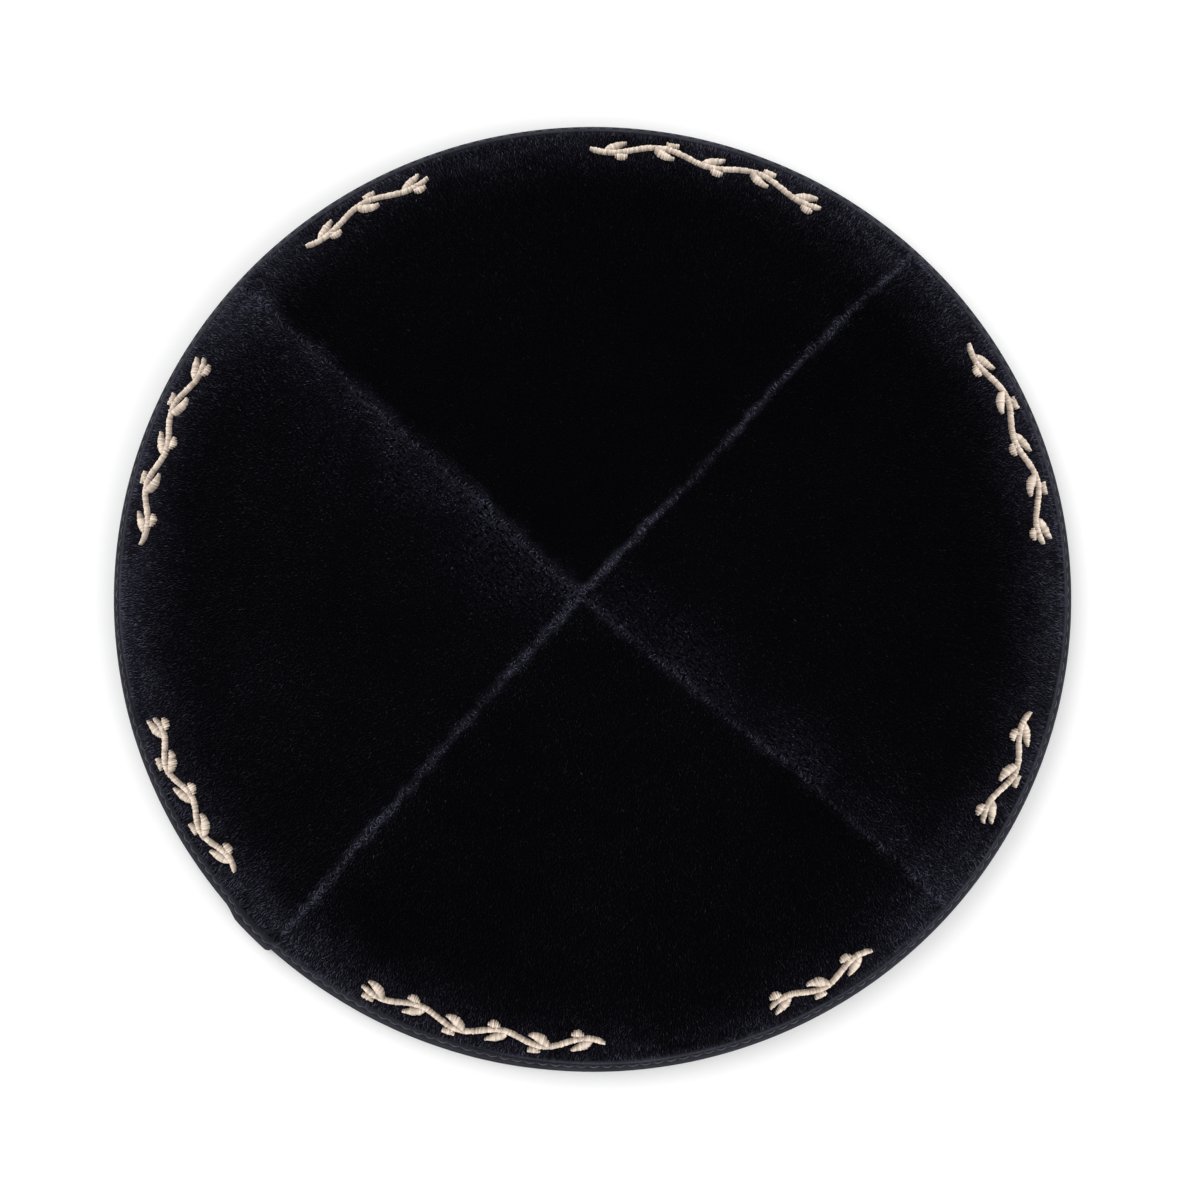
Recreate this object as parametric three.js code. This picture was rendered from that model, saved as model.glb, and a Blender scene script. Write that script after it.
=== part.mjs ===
// A skullcap (kippah) of four velvet panels with a folded ribbon binding round its rim.
// Millimetres, +Z up through the crown. The cap stands on its rim: the origin is the middle
// of the rim on the table, the front is at -Y and the wearer's head comes in from below.
import * as THREE from 'three';

// Driving dimensions
const capWidth = 180; // over the binding, left to right
const capDepth = 178.1; // over the binding, front to back
const clothThickness = 2; // velvet with its backing and pile
const ribbonThickness = 1; // the binding ribbon, which is folded over the rim
const gap = 0.3; // between pieces that are sewn together
const seamTuck = 0.8; // how deep a panel's edge turns down into its seam
const seamShoulder = 2.4; // width of the rounded shoulder beside a seam
const apexShift = new THREE.Vector2(-2.1, -3.0); // the seams meet a little off the rim's middle

// The crown along the middle of a panel, from the apex down to the rim. ridge: how far a seam
// stands above the panel's middle. sag: how much lower the softer front side lies.
const crown = [
  { reach: 0, height: 49.5, ridge: 0, sag: 0 },
  { reach: 25, height: 45.3, ridge: 1.3, sag: 3 },
  { reach: 45, height: 39.4, ridge: 2.4, sag: 5.2 },
  { reach: 60, height: 32.6, ridge: 2.9, sag: 6.2 },
  { reach: 70, height: 26.4, ridge: 2.7, sag: 6 },
  { reach: 78, height: 19.9, ridge: 2, sag: 4.5 },
  { reach: 84.3, height: 13.1, ridge: 1, sag: 1.8 },
  { reach: 87, height: 8, ridge: 0.3, sag: 0.2 },
  { reach: 88.65, height: 0, ridge: 0, sag: 0 },
];
const rimReach = crown.at(-1).reach;
const ovalness = (capDepth / 2 - capWidth / 2 + rimReach) / rimReach;
const softFront = { azimuth: 262, sharpness: 2 };

// Each panel runs between the azimuths of two seams, in degrees from +X towards +Y.
const panels = [
  { name: 'velvet_panel_right', from: -41.7, to: 47 },
  { name: 'velvet_panel_back', from: 47, to: 138.3 },
  { name: 'velvet_panel_left', from: 138.3, to: 228.1 },
  { name: 'velvet_panel_front', from: 228.1, to: 318.3 },
];
const panelRows = 14;
const panelColumns = 16;
const panelEnd = 0.966; // where the cloth ends inside the fold, as a share of the way down

const binding = {
  top: 0.875, // where both legs of the ribbon end, as a share of the way down
  fold: 0.977, // the inside of the fold, under the cloth's edge
  innerEnd: 0.972, // the lowest point of the leg inside the cap
  footOutside: 0.75, // the flat foot, outwards and inwards from the rim's reach
  footInside: 2.7,
  steps: 96,
};
// The ribbon's outer end laps over its inner end at the left front seam.
const lap = { end: 228, length: 12, ramp: 4, thickness: 0.8, cut: 0.2 };

const profileCurve = new THREE.SplineCurve(crown.map((row) => new THREE.Vector2(row.reach, row.height)));
const formCurve = new THREE.SplineCurve(crown.map((row) => new THREE.Vector2(row.ridge, row.sag)));

const radians = THREE.MathUtils.degToRad;

function panelAt(azimuth) {
  const turned = panels.map((panel) => ({
    ...panel,
    angle: THREE.MathUtils.euclideanModulo(azimuth - panel.from, 360),
    width: panel.to - panel.from,
  }));
  return turned.find((panel) => panel.angle <= panel.width + 1e-6) ?? turned[0];
}

// 0 on the middle of a panel, 1 on its seams, with a crease there as flat cloth gives
function seamCloseness(azimuth) {
  const { angle, width } = panelAt(azimuth);
  const half = radians(width / 2);
  const off = radians(angle) - half;
  return (1 / Math.cos(off) - 1) / (1 / Math.cos(half) - 1);
}

function frontness(azimuth) {
  const lobe = (1 + Math.cos(radians(azimuth - softFront.azimuth))) / 2;
  return lobe ** softFront.sharpness;
}

// The crown's outer line at one azimuth: reach from the axis and height, at a share of the way down
function meridian(azimuth, share) {
  const { x: reach, y: height } = profileCurve.getPoint(share);
  const { x: ridge, y: sag } = formCurve.getPoint(share);
  return new THREE.Vector2(
    reach,
    height + ridge * seamCloseness(azimuth) - sag * frontness(azimuth),
  );
}

// The same line moved outwards by an offset, at right angles to itself
function meridianOffset(azimuth, share, offset) {
  const point = meridian(azimuth, share);
  if (share === 0) return point.add(new THREE.Vector2(0, offset));
  const step = 0.004;
  const along = meridian(azimuth, Math.min(share + step, 1)).sub(meridian(azimuth, share - step));
  const outward = new THREE.Vector2(-along.y, along.x).normalize();
  return point.add(outward.multiplyScalar(offset));
}

// A point in space. shift moves a whole panel along its middle to open its seams, and the
// reach gives that much back, so that the rim stays where it is.
function place(azimuth, line, share, shift = 0, middle = 0) {
  const angle = radians(azimuth);
  const reach = Math.max(line.x - shift * Math.cos(radians(azimuth - middle)), 0);
  const slide = 1 - Math.min(profileCurve.getPoint(share).x / rimReach, 1);
  return [
    apexShift.x * slide + reach * Math.cos(angle) + shift * Math.cos(radians(middle)),
    (apexShift.y * slide + reach * Math.sin(angle) + shift * Math.sin(radians(middle))) * ovalness,
    line.y,
  ];
}

function solid(points, triangles) {
  const geometry = new THREE.BufferGeometry();
  geometry.setAttribute('position', new THREE.Float32BufferAttribute(points.flat(), 3));
  geometry.setIndex(triangles.flat());
  geometry.computeVertexNormals();
  return geometry;
}

// The azimuths of a panel's columns on one row: even, but with a narrow shoulder at each seam
function columnAzimuths(panel, reach) {
  const width = panel.to - panel.from;
  const even = width / panelColumns;
  const shoulder = Math.min(THREE.MathUtils.radToDeg(seamShoulder / Math.max(reach, 1)), even);
  return Array.from({ length: panelColumns + 1 }, (_, column) => {
    if (column === 0) return panel.from;
    if (column === panelColumns) return panel.to;
    const inner = (column - 1) / (panelColumns - 2);
    return panel.from + shoulder + inner * (width - 2 * shoulder);
  });
}

function panelGeometry(panel) {
  const middle = (panel.from + panel.to) / 2;
  const shift = gap / 2 / Math.sin(radians((panel.to - panel.from) / 2));
  const points = [];
  const triangles = [];
  const layers = [
    { offset: 0, tuck: seamTuck },
    { offset: -clothThickness, tuck: 0 },
  ];
  for (const { offset, tuck } of layers) {
    points.push(place(middle, meridianOffset(middle, 0, offset), 0, shift, middle));
    for (let row = 1; row <= panelRows; row += 1) {
      const share = (row / panelRows) * panelEnd;
      const azimuths = columnAzimuths(panel, profileCurve.getPoint(share).x);
      const under = THREE.MathUtils.clamp((binding.top - share) * panelRows, 0, 1);
      azimuths.forEach((azimuth, column) => {
        const edge = column === 0 || column === panelColumns;
        const line = meridianOffset(azimuth, share, offset - (edge ? tuck * under : 0));
        points.push(place(azimuth, line, share, shift, middle));
      });
    }
  }
  const layerSize = points.length / 2;
  const at = (layer, row, column) =>
    layer * layerSize + (row === 0 ? 0 : 1 + (row - 1) * (panelColumns + 1) + column);
  const quad = (a, b, c, d) => triangles.push([a, b, c], [a, c, d]);
  for (let row = 0; row < panelRows; row += 1) {
    for (let column = 0; column < panelColumns; column += 1) {
      if (row > 0) {
        quad(at(0, row, column), at(0, row + 1, column), at(0, row + 1, column + 1), at(0, row, column + 1));
        quad(at(1, row, column), at(1, row, column + 1), at(1, row + 1, column + 1), at(1, row + 1, column));
      } else {
        triangles.push([at(0, 0), at(0, 1, column), at(0, 1, column + 1)]);
        triangles.push([at(1, 0), at(1, 1, column + 1), at(1, 1, column)]);
      }
    }
    const far = panelColumns;
    quad(at(0, row, 0), at(1, row, 0), at(1, row + 1, 0), at(0, row + 1, 0));
    quad(at(0, row, far), at(0, row + 1, far), at(1, row + 1, far), at(1, row, far));
  }
  for (let column = 0; column < panelColumns; column += 1) {
    const low = panelRows;
    quad(at(0, low, column), at(1, low, column), at(1, low, column + 1), at(0, low, column + 1));
  }
  return solid(points, triangles);
}

// How much thicker the ribbon is where its ends lap, at a distance before its outer end
function lapThickness(before) {
  return lap.thickness * THREE.MathUtils.clamp((lap.length - before) / lap.ramp, 0, 1);
}

// The ribbon's section: down the outside, across the flat foot, up the inside, and back
// along the channel that holds the cloth
function bindingSection(azimuth, extra) {
  const outside = gap + ribbonThickness + extra;
  const inside = -clothThickness - gap - ribbonThickness - extra;
  const { top, fold, innerEnd } = binding;
  const half = (top + 1) / 2;
  const on = (share, offset) => meridianOffset(azimuth, share, offset);
  return [
    on(top, outside),
    on(half, outside),
    on(1, outside),
    new THREE.Vector2(rimReach + binding.footOutside + extra, 0),
    new THREE.Vector2(rimReach - binding.footInside - extra, 0),
    on(innerEnd, inside),
    on(half, inside),
    on(top, inside),
    on(top, inside + ribbonThickness + extra),
    on(half, inside + ribbonThickness + extra),
    on(fold, inside + ribbonThickness + extra),
    on(fold, gap),
    on(half, gap),
    on(top, gap),
  ];
}

function bindingGeometry() {
  const points = [];
  const triangles = [];
  const round = 2 * Math.PI * rimReach;
  for (let step = 0; step <= binding.steps; step += 1) {
    const turn = Math.min((step / binding.steps) * 360, 360 - lap.cut);
    const before = ((360 - turn) / 360) * round;
    const azimuth = lap.end + turn;
    for (const line of bindingSection(azimuth, lapThickness(before))) {
      points.push(place(azimuth, line, 1));
    }
  }
  const size = bindingSection(0, 0).length;
  const sections = points.length / size;
  for (let section = 0; section < sections; section += 1) {
    const next = (section + 1) % sections;
    for (let corner = 0; corner < size; corner += 1) {
      const after = (corner + 1) % size;
      const a = section * size + corner;
      const b = section * size + after;
      const c = next * size + after;
      const d = next * size + corner;
      triangles.push([a, b, c], [a, c, d]);
    }
  }
  return solid(points, triangles);
}

const group = new THREE.Group();
for (const panel of panels) {
  const velvet = new THREE.MeshStandardMaterial({ color: 0x0a0a0f, roughness: 0.95, metalness: 0 });
  const mesh = new THREE.Mesh(panelGeometry(panel), velvet);
  mesh.name = panel.name;
  group.add(mesh);
}

const ribbon = new THREE.MeshStandardMaterial({ color: 0x1c1d23, roughness: 0.6, metalness: 0 });
const rimBinding = new THREE.Mesh(bindingGeometry(), ribbon);
rimBinding.name = 'rim_binding';
group.add(rimBinding);

export default group;
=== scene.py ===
import math

import bpy
import numpy as np
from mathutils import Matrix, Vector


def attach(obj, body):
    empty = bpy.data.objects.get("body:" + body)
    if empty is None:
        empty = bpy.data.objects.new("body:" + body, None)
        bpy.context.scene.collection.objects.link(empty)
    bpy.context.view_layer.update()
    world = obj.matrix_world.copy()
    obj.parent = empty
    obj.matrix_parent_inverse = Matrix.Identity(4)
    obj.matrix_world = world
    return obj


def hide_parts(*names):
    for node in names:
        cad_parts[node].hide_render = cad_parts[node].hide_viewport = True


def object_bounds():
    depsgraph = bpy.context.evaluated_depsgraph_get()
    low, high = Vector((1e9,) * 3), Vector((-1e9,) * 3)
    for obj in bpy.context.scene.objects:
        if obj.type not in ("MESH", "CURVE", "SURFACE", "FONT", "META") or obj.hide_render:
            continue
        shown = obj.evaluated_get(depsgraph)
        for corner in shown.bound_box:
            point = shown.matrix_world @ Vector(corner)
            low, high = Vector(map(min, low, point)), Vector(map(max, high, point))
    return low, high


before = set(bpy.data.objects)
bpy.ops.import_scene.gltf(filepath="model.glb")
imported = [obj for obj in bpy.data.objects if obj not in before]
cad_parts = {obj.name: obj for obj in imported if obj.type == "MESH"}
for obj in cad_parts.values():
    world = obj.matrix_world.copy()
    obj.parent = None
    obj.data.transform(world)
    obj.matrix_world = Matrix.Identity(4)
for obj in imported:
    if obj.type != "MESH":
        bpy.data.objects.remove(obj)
cadBox = [list(corner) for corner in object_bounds()]
mm = 0.001

# the crown along the middle of a panel, from the apex down to the rim, in millimetres;
# ridge is how far a seam stands above the panel's middle, sag how much lower the front lies
crownNames = ["reach", "height", "ridge", "sag"]
crownRows = [
    (0, 49.5, 0, 0),
    (25, 45.3, 1.3, 3),
    (45, 39.4, 2.4, 5.2),
    (60, 32.6, 2.9, 6.2),
    (70, 26.4, 2.7, 6),
    (78, 19.9, 2, 4.5),
    (84.3, 13.1, 1, 1.8),
    (87, 8, 0.3, 0.2),
    (88.65, 0, 0, 0),
]
capForm = {
    "apexShift": (-2.1, -3.0),  # the seams meet a little off the rim's middle
    "frontAzimuth": 262,
    "frontSharpness": 2,
    "ribbonOut": 1.3,  # how far the ribbon's face stands outside the velvet
    "clothThickness": 2.0,
    "seamGap": 0.04,
    "ribbonTop": 0.875,  # the share of the way down where the ribbon's legs end
    "clothEnd": 0.966,
    "foldShare": 0.977,
}
seamAzimuths = [-41.7, 47.0, 138.3, 228.1]
panelNames = ["velvet_panel_right", "velvet_panel_back", "velvet_panel_left", "velvet_panel_front"]

capWidth = (cadBox[1][0] - cadBox[0][0]) / mm
capDepth = (cadBox[1][1] - cadBox[0][1]) / mm
capHeight = (cadBox[1][2] - cadBox[0][2]) / mm
rimReach = capWidth / 2 - capForm["ribbonOut"]
ovalness = (capDepth / 2 - capForm["ribbonOut"]) / rimReach
reachScale = rimReach / crownRows[-1][0]
heightScale = capHeight / crownRows[0][1]
crownTable = {}
for name, column in zip(crownNames, np.array(crownRows, float).T):
    crownTable[name] = column * (reachScale if name == "reach" else heightScale)


def alongCrown(name, share):
    # a Catmull-Rom curve through one column of the table, share 0 at the apex and 1 at the rim
    values = crownTable[name]
    last = len(values) - 1
    place = np.clip(share, 0, 1) * last
    row = np.minimum(place.astype(int), last - 1)
    t = place - row
    before, here = values[np.maximum(row - 1, 0)], values[row]
    there, beyond = values[row + 1], values[np.minimum(row + 2, last)]
    leave, arrive = (there - before) / 2, (beyond - here) / 2
    return (
        (2 * here - 2 * there + leave + arrive) * t**3
        + (3 * there - 3 * here - 2 * leave - arrive) * t**2
        + leave * t
        + here
    )


def panelPlace(azimuth):
    # which panel an azimuth is on, how far into it in degrees, and the panel's width
    starts = np.array(seamAzimuths)
    widths = np.diff(np.append(starts, starts[0] + 360))
    into = np.mod(np.asarray(azimuth, float)[..., None] - starts, 360)
    panel = np.argmin(np.where(into <= widths + 1e-9, into, 999), axis=-1)
    return panel, np.take_along_axis(into, panel[..., None], -1)[..., 0], widths[panel]


def seamCloseness(azimuth, panel=None):
    # 0 on the middle of a panel, 1 on its seams, creased there
    if panel is None:
        _, into, width = panelPlace(azimuth)
    else:
        into, width = azimuth - seamAzimuths[panel], np.full(np.shape(azimuth), panelWidth(panel))
    half = np.radians(width / 2)
    off = np.radians(into) - half
    return (1 / np.cos(off) - 1) / (1 / np.cos(half) - 1)


def frontness(azimuth):
    lobe = (1 + np.cos(np.radians(azimuth - capForm["frontAzimuth"]))) / 2
    return lobe ** capForm["frontSharpness"]


def meridian(azimuth, share, panel=None):
    reach = alongCrown("reach", share)
    height = (
        alongCrown("height", share)
        + alongCrown("ridge", share) * seamCloseness(azimuth, panel)
        - alongCrown("sag", share) * frontness(azimuth)
    )
    return reach, height


def outwardMeridian(azimuth, share, panel=None):
    # the meridian's point with its outward direction: reach, height, and the same two of the direction
    step = 0.004
    low = meridian(azimuth, np.maximum(share - step, 0), panel)
    high = meridian(azimuth, np.minimum(share + step, 1), panel)
    run, fall = high[0] - low[0], high[1] - low[1]
    length = np.hypot(run, fall)
    return *meridian(azimuth, share, panel), -fall / length, run / length


def capSurface(azimuth, share, offset=0.0, panel=None, middle=0.0, shift=0.0):
    # points on the crown in metres, moved outwards by an offset in millimetres
    azimuth, share, offset = np.broadcast_arrays(*(np.asarray(v, float) for v in (azimuth, share, offset)))
    reach, height, outReach, outHeight = outwardMeridian(azimuth, share, panel)
    flat = np.clip(share * 40, 0, 1)  # straight up at the apex itself
    reach, height = reach + outReach * flat * offset, height + outHeight * offset
    turn, mid = np.radians(azimuth), math.radians(middle)
    kept = np.maximum(reach - shift * np.cos(turn - mid), 0)
    slide = 1 - np.minimum(alongCrown("reach", share) / rimReach, 1)
    x = capForm["apexShift"][0] * slide + kept * np.cos(turn) + shift * math.cos(mid)
    y = capForm["apexShift"][1] * slide + kept * np.sin(turn) + shift * math.sin(mid)
    return np.stack([x, y * ovalness, height], -1) * mm


def arcTable(samples=2000):
    share = np.linspace(0, 1, samples)
    run = np.diff(alongCrown("reach", share))
    fall = np.diff(alongCrown("height", share))
    return share, np.append(0, np.cumsum(np.hypot(run, fall)))


crownShares, crownArcs = arcTable()


def shareAtArc(arc):
    # arc: millimetres down the crown from the apex, over the cloth
    return np.interp(arc, crownArcs, crownShares)


def arcAtShare(share):
    return np.interp(share, crownShares, crownArcs)


def softNoise(x, y, size, seed):
    # soft random hills from -1 to 1 over a plane, a size apart
    side = 64
    hills = np.random.default_rng(seed).uniform(-1, 1, (side, side))
    column, row = np.floor(x / size).astype(int), np.floor(y / size).astype(int)
    right, up = x / size - column, y / size - row
    right, up = right * right * (3 - 2 * right), up * up * (3 - 2 * up)

    def hill(above, beside):
        return hills[(row + above) % side, (column + beside) % side]

    low = hill(0, 0) * (1 - right) + hill(0, 1) * right
    high = hill(1, 0) * (1 - right) + hill(1, 1) * right
    return low * (1 - up) + high * up


def panelWidth(panel):
    return np.diff(np.append(seamAzimuths, seamAzimuths[0] + 360))[panel]


def clothPlace(azimuth, share, panel):
    # where a point lies on the cut cloth, in millimetres along and across the panel's first seam
    arc, turn = arcAtShare(share), np.radians(azimuth - seamAzimuths[panel])
    return arc * np.cos(turn), arc * np.sin(turn)


def crownPlace(azimuth, share):
    # the same with one zero direction for all panels
    arc, turn = arcAtShare(share), np.radians(azimuth)
    return arc * np.cos(turn), arc * np.sin(turn)


print("form: rim reach", round(rimReach, 2), "mm, crown arc", round(crownArcs[-1], 1), "mm")


def addObject(name, data):
    made = bpy.data.objects.new(name, data)
    bpy.context.scene.collection.objects.link(made)
    return made


def makeMesh(name, points, faces, smooth=True):
    mesh = bpy.data.meshes.new(name)
    mesh.from_pydata([tuple(p) for p in points], [], faces)
    mesh.validate()
    mesh.update()
    if smooth:
        mesh.shade_smooth()
    return addObject(name, mesh)


def addFloat(piece, name, values):
    layer = piece.data.attributes.new(name, "FLOAT", "POINT")
    layer.data.foreach_set("value", np.asarray(values, np.float32).ravel())


def addVector(piece, name, values):
    layer = piece.data.attributes.new(name, "FLOAT_VECTOR", "POINT")
    layer.data.foreach_set("vector", np.asarray(values, np.float32).ravel())


class Wire:
    # one output of a node tree; arithmetic on it adds Math nodes
    def __init__(self, socket):
        self.socket = socket
        self.tree = socket.id_data

    def node(self, kind, settings=None, inputs=None, output=0):
        made = self.tree.nodes.new(kind)
        for name, value in (settings or {}).items():
            if name == "stops":
                ramp = made.color_ramp.elements
                while len(ramp) < len(value):
                    ramp.new(0.5)
                for element, (position, colour) in zip(ramp, value):
                    element.position, element.color = position, colour
            else:
                setattr(made, name, value)
        for name, value in (inputs or {}).items():
            if isinstance(value, Wire):
                self.tree.links.new(value.socket, made.inputs[name])
            else:
                made.inputs[name].default_value = value
        return Wire(made.outputs[output])

    def math(self, operation, *values):
        return self.node("ShaderNodeMath", {"operation": operation}, dict(enumerate(values)))

    def __add__(self, other):
        return self.math("ADD", self, other)

    def __sub__(self, other):
        return self.math("SUBTRACT", self, other)

    def __mul__(self, other):
        return self.math("MULTIPLY", self, other)

    def __truediv__(self, other):
        return self.math("DIVIDE", self, other)

    def __pow__(self, other):
        return self.math("POWER", self, other)

    def __rsub__(self, other):
        return self.math("SUBTRACT", other, self)

    __radd__ = __add__
    __rmul__ = __mul__

    def sine(self):
        return self.math("SINE", self)

    def smoothStep(self, low, high):
        return self.node(
            "ShaderNodeMapRange",
            {"interpolation_type": "SMOOTHSTEP"},
            {"Value": self, "From Min": low, "From Max": high},
        )


def startMaterial(name, constants):
    # a Principled material with fixed values on its sockets; returns it, its shader and its coordinates
    material = bpy.data.materials.new(name)
    material.use_nodes = True
    shader = next(n for n in material.node_tree.nodes if n.type == "BSDF_PRINCIPLED")
    for socket, value in constants.items():
        shader.inputs[socket].default_value = value
    place = Wire(material.node_tree.nodes.new("ShaderNodeTexCoord").outputs["Object"])
    return material, shader, place


def attribute(wire, name, output="Fac"):
    return wire.node("ShaderNodeAttribute", {"attribute_name": name}, output=output)


def noise(place, scale, detail=2.0, roughness=0.5):
    inputs = {"Vector": place, "Scale": scale, "Detail": detail, "Roughness": roughness}
    return place.node("ShaderNodeTexNoise", None, inputs)


def blend(low, high, factor):
    return factor.node(
        "ShaderNodeMix",
        {"data_type": "RGBA", "clamp_factor": True},
        {0: factor, 6: low, 7: high},
        output=2,
    )


def feed(wire, shader, socket):
    wire.tree.links.new(wire.socket, shader.inputs[socket])


def feedBump(height, shader, distance, strength=1.0):
    bump = height.node(
        "ShaderNodeBump", None, {"Height": height, "Distance": distance, "Strength": strength}
    )
    feed(bump, shader, "Normal")


velvetLook = {
    "rows": 140,
    "columns": 132,
    "seamBunching": 0.72,  # how much closer the columns stand near the seams
    "tuck": 0.8,  # how deep the cloth turns down into a seam
    "shoulder": 1.4,  # how far from the seam it starts to turn
    "allowance": 6.0,  # the turned-in cloth that pads the seam from below, and its height
    "allowanceLift": 0.35,
    "puckerLength": 7.5,
    "pucker": 0.12,
    "rimPuff": 0.45,  # the cloth swells above the ribbon's edge
    "rimPuffWidth": 4.0,
    "wave": 0.3,  # soft unevenness of the whole crown
    "puckerReach": 5.0,
    "rimFade": 0.05,  # the share over which all this fades out above the ribbon
    "apexReach": 8.0,  # the four points are drawn together this near the apex
    "apexTuck": 0.4,
    "every": 4,  # the inside of the cloth is this much coarser
}


def panelColumns():
    even = np.linspace(0, 1, velvetLook["columns"] + 1)
    bunched = (1 - np.cos(np.pi * even)) / 2
    return even + (bunched - even) * velvetLook["seamBunching"]


def panelRows():
    arcs = np.linspace(0, arcAtShare(capForm["clothEnd"]), velvetLook["rows"] + 1)
    return shareAtArc(arcs)


def seamDistances(azimuth, share, panel):
    # millimetres over the cloth from the panel's first and last seam
    start, width = seamAzimuths[panel], panelWidth(panel)
    reach = alongCrown("reach", share)
    first = np.radians(azimuth - start)
    second = np.radians(start + width - azimuth)
    return reach * np.sin(np.minimum(first, np.pi / 2)), reach * np.sin(np.minimum(second, np.pi / 2))


def velvetRelief(azimuth, share, panel):
    # how far the pile's surface stands off the crown's plain form, in millimetres
    look = velvetLook
    first, second = seamDistances(azimuth, share, panel)
    arc = arcAtShare(share)
    reach = alongCrown("reach", share)
    fade = np.clip((capForm["ribbonTop"] - share) / look["rimFade"], 0, 1)
    distance = np.minimum(first, second)
    side = np.where(first <= second, 0.0, 2.3)
    near = np.clip(1 - distance / look["shoulder"], 0, 1)
    closed = np.clip(reach / look["apexReach"], look["apexTuck"], 1)
    relief = -look["tuck"] * (1 - np.sqrt(1 - near**2)) * fade * closed
    pad = np.clip(1 - distance / look["allowance"], 0, 1)
    relief += look["allowanceLift"] * np.sin(np.pi * pad / 2) ** 2 * fade
    turn = 2 * np.pi * arc / look["puckerLength"] + panel * 1.7 + side
    wrinkle = np.sin(turn + 0.8 * np.sin(turn * 0.37)) + 0.5 * np.sin(turn * 1.73 + 1.1)
    relief += look["pucker"] * wrinkle * np.exp(-distance / look["puckerReach"]) * fade * closed
    above = arcAtShare(capForm["ribbonTop"]) - arc
    puff = np.clip(above / look["rimPuffWidth"], 0, 1)
    relief += look["rimPuff"] * np.sin(np.pi * puff**0.7) * (above > 0)
    x, y = crownPlace(azimuth, share)
    wave = softNoise(x, y, 24, 1) + 0.4 * softNoise(x, y, 9, 2)
    return relief + look["wave"] * wave * fade


def panelOptions(panel):
    # how one panel is set off from its neighbours, for capSurface
    middle = seamAzimuths[panel] + panelWidth(panel) / 2
    shift = capForm["seamGap"] / 2 / math.sin(math.radians(panelWidth(panel) / 2))
    return dict(panel=panel, middle=middle, shift=shift)


def alongSeam(azimuth, share, panel):
    # the azimuth after the seams' small wandering, which fades out across each panel
    start, width = seamAzimuths[panel], panelWidth(panel)
    arc, across = arcAtShare(share), np.clip((azimuth - start) / width, 0, 1)
    moved = 0
    for seam, near in ((panel, 1 - across), ((panel + 1) % 4, across)):
        bend = 0.55 * softNoise(arc, 0 * arc + seam * 11, 13, 6)
        bend = bend + 0.2 * softNoise(arc, 0 * arc + seam * 7, 3, 7)
        moved = moved + bend * np.clip(near * 3 - 2, 0, 1) * np.clip(arc / 12, 0, 1)
    return azimuth + np.degrees(moved / np.maximum(alongCrown("reach", share), 2))


def setBakeMap(piece, u, v):
    # a bake map, one place for each corner of each face
    layer = piece.data.uv_layers.new(name="OFBake")
    layer.uv.foreach_set("vector", np.stack([u, v], -1).astype(np.float32).ravel())


def cornerVertices(piece):
    found = np.empty(len(piece.data.loops), np.int32)
    piece.data.loops.foreach_get("vertex_index", found)
    return found


def pointValues(piece, name):
    found = np.empty(len(piece.data.vertices), np.float32)
    piece.data.attributes[name].data.foreach_get("value", found)
    return found


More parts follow.
